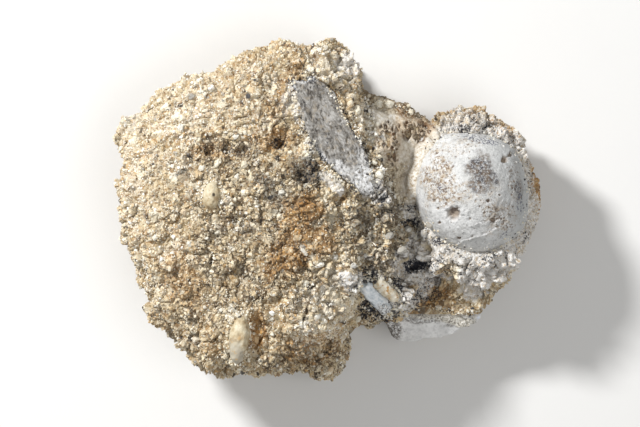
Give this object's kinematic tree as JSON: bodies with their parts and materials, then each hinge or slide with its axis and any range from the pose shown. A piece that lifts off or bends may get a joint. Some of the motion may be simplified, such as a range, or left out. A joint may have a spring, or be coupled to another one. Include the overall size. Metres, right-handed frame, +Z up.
{
  "type": "fossil ruminant humerus in its matrix",
  "caption": "Ball-shaped head of a fossil ruminant upper arm bone, bedded with bone fragments and pebbles in a rough lump of cemented grit that lies on its flat broken back.",
  "frame": {"origin": "middle of the bounding box at the level of the flat broken back that the specimen lies on", "axes": "+Z up, out of the face that shows the bone; +X from the rock towards the ball-shaped head, the longest way across"},
  "size_m": [0.1418, 0.114, 0.0642],
  "materials": {
    "grit_matrix": "rough, coarse-grained",
    "chalky_bone": "matt, chalky",
    "grey_bone": "matt, fibrous",
    "plate_bone": "smooth, matt",
    "enamel_bone": "glossy",
    "amber_bone": "satin",
    "pebble": "water-worn, matt"
  },
  "bodies": {
    "root": {"matrix_block": "grit_matrix", "humerus": "chalky_bone", "shaft_fragment": "grey_bone", "bone_plate": "plate_bone", "bone_splinter": "enamel_bone", "bone_chip": "amber_bone", "oval_pebble": "pebble", "long_pebble": "pebble"}
  },
  "joints": []
}
